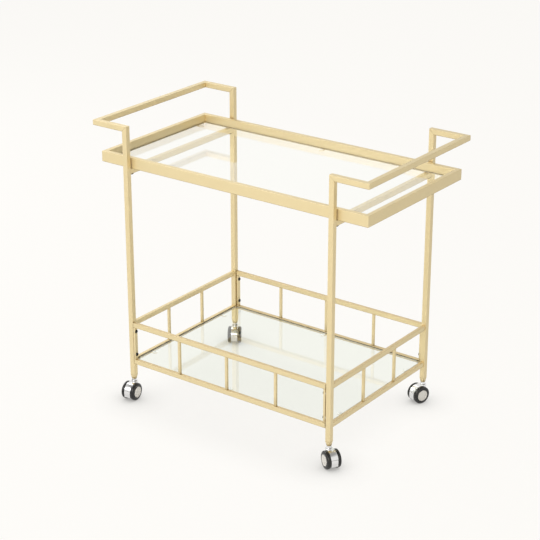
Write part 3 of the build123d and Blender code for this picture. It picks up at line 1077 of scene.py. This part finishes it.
@dataclass
class Studio:
    """Pale floor, soft lamps and the camera at the photograph's angle."""

    backdrop: Colour = (1.0, 0.985, 0.955)
    floor_colour: Colour = (0.95, 0.94, 0.92)
    floor_half: float = 12.0
    floor_glow: float = 0.94
    contact_reach: float = 0.10
    contact_shade: float = 0.70
    under_middle: tuple[float, float] = (0.0, -0.055)
    under_half: tuple[float, float] = (0.33, 0.28)
    under_fade: float = 0.08
    under_shade: float = 0.055
    world_level: float = 0.30
    ceiling_share: float = 0.4
    ceiling_from: Span = (0.66, 0.90)
    camera_place: Place = (2.4032, -3.2956, 2.0643)
    camera_pitch: float = 22.31
    camera_yaw: float = 36.43
    focal_pixels: float = 1612.5
    frame_pixels: int = 540
    sensor: float = 36.0
    aim: Place = (0.0, 0.0, 0.4)
    lamps: tuple[Lamp, ...] = (
        Lamp("key", (-1.6, -3.2, 2.3), 2.2, 24.0),
        Lamp("front", (0.8, -3.4, 1.9), 2.0, 32.0),
        Lamp("fill", (2.4, -3.2, 2.0), 2.0, 38.0, (1.0, 0.90, 0.67)),
        Lamp("left", (-3.4, 0.0, 1.9), 2.2, 50.0),
        Lamp("over_left", (-2.0, 1.2, 3.0), 2.0, 17.0),
    )

    def build(self) -> None:
        """Make the floor, the world, the lamps and the camera."""
        self.floor()
        self.world()
        for lamp in self.lamps:
            lamp.build(self.aim)
        self.camera()

    @staticmethod
    def seen(kit: Nodes) -> Socket:
        """Share that is 1 for rays from the camera, from a mirror and through glass.

        Args:
            kit: The nodes of the floor's material or of the world.

        Returns:
            The socket with that share.
        """
        path = kit.add("LightPath").outputs
        total = kit.maths("MAXIMUM", path["Is Camera Ray"], path["Is Glossy Ray"])
        return kit.maths("MAXIMUM", total, path["Is Transmission Ray"])

    def below_cart(self, kit: Nodes) -> Socket:
        """Soft mask of the painted shadow on the floor below the cart, where the cart keeps the
        light above it away.

        Args:
            kit: The nodes of the floor's material.

        Returns:
            The socket with the mask, 1 below the cart and 0 away from it.
        """
        place = kit.add("TexCoord").outputs["Object"]
        parts = kit.add("SeparateXYZ", Vector=place).outputs
        fades = []
        for axis, middle, half in zip("XY", self.under_middle, self.under_half):
            away = kit.maths("ABSOLUTE", kit.maths("SUBTRACT", parts[axis], middle))
            fades.append(kit.ramp(away, half + self.under_fade, half - self.under_fade,
                                  interpolation="SMOOTHSTEP"))
        return kit.maths("MULTIPLY", *fades)

    def floor(self) -> None:
        """Wide floor that stays pale and keeps the cart's shadow: partly rendered, and partly a
        painted contact shadow near the parts and a painted shadow below the cart.
        """
        made = bpy.data.materials.new("studio_floor")
        made.use_nodes = True
        tree = made.node_tree
        tree.nodes.remove(tree.nodes["Principled BSDF"])
        kit = Nodes(tree)
        matt = kit.add("BsdfDiffuse", Color=self.floor_colour)
        # painted contact shadow and painted shadow below the cart, in the glow's colour and
        # strength
        near = kit.add("AmbientOcclusion", samples=8, Distance=self.contact_reach)
        painted_shade_colour = tuple(part * (1.0 - self.contact_shade) for part in self.backdrop)
        level = kit.maths("MULTIPLY_ADD", self.below_cart(kit), -self.under_shade, 1.0)
        glow = kit.add("Emission", Strength=level,
                       Color=kit.mix(near.outputs["AO"], painted_shade_colour, self.backdrop))
        mixed = kit.add("MixShader")
        kit.feed(mixed.inputs[0], kit.maths("MULTIPLY", self.seen(kit), self.floor_glow))
        kit.feed(mixed.inputs[1], matt.outputs[0])
        kit.feed(mixed.inputs[2], glow.outputs[0])
        kit.feed(tree.nodes["Material Output"].inputs["Surface"], mixed.outputs[0])
        mesh = bmesh.new()
        bmesh.ops.create_grid(mesh, x_segments=1, y_segments=1, size=self.floor_half)
        data = bpy.data.meshes.new("studio_floor")
        mesh.to_mesh(data)
        mesh.free()
        data.materials.append(made)
        floor = bpy.data.objects.new("studio_floor", data)
        bpy.context.scene.collection.objects.link(floor)

    def world(self) -> None:
        """Even light from all round, and the pale backdrop where it is seen."""
        world = bpy.data.worlds.new("studio_world")
        world.use_nodes = True
        kit = Nodes(world.node_tree)
        plain = world.node_tree.nodes["Background"]
        kit.feed(plain.inputs["Color"], WHITE)
        kit.feed(plain.inputs["Strength"], self.world_level)
        ray = kit.add("TexCoord").outputs["Generated"]
        height = kit.add("SeparateXYZ", Vector=ray).outputs["Z"]
        ceiling = kit.ramp(height, *self.ceiling_from, 1.0, self.ceiling_share)
        pale = kit.add("Background", Color=self.backdrop, Strength=ceiling)
        mixed = kit.add("MixShader")
        kit.feed(mixed.inputs[0], self.seen(kit))
        kit.feed(mixed.inputs[1], plain.outputs[0])
        kit.feed(mixed.inputs[2], pale.outputs[0])
        kit.feed(world.node_tree.nodes["World Output"].inputs["Surface"], mixed.outputs[0])
        bpy.context.scene.world = world

    def camera(self) -> None:
        """Camera fitted to the photograph's view of the posts, rails and handles."""
        data = bpy.data.cameras.new("photo_view")
        data.sensor_width = self.sensor
        data.lens = self.focal_pixels / self.frame_pixels * self.sensor
        made = bpy.data.objects.new("photo_view", data)
        made.location = self.camera_place
        made.rotation_euler = (QUARTER_TURN - math.radians(self.camera_pitch), 0.0,
                               math.radians(self.camera_yaw))
        bpy.context.scene.collection.objects.link(made)
        bpy.context.scene.camera = made


def main() -> None:
    """Build every sub-assembly in order."""
    logging.basicConfig(level=logging.INFO, format="%(message)s")
    bpy.context.scene.view_settings.view_transform = "Standard"
    TubeFrame().build()
    GlassPanes().build()
    Fasteners().build()
    Stems().build()
    for corner in CORNERS:
        Caster(corner).build()
    Studio().build()
    bpy.context.view_layer.update()


if __name__ == "__main__":
    main()
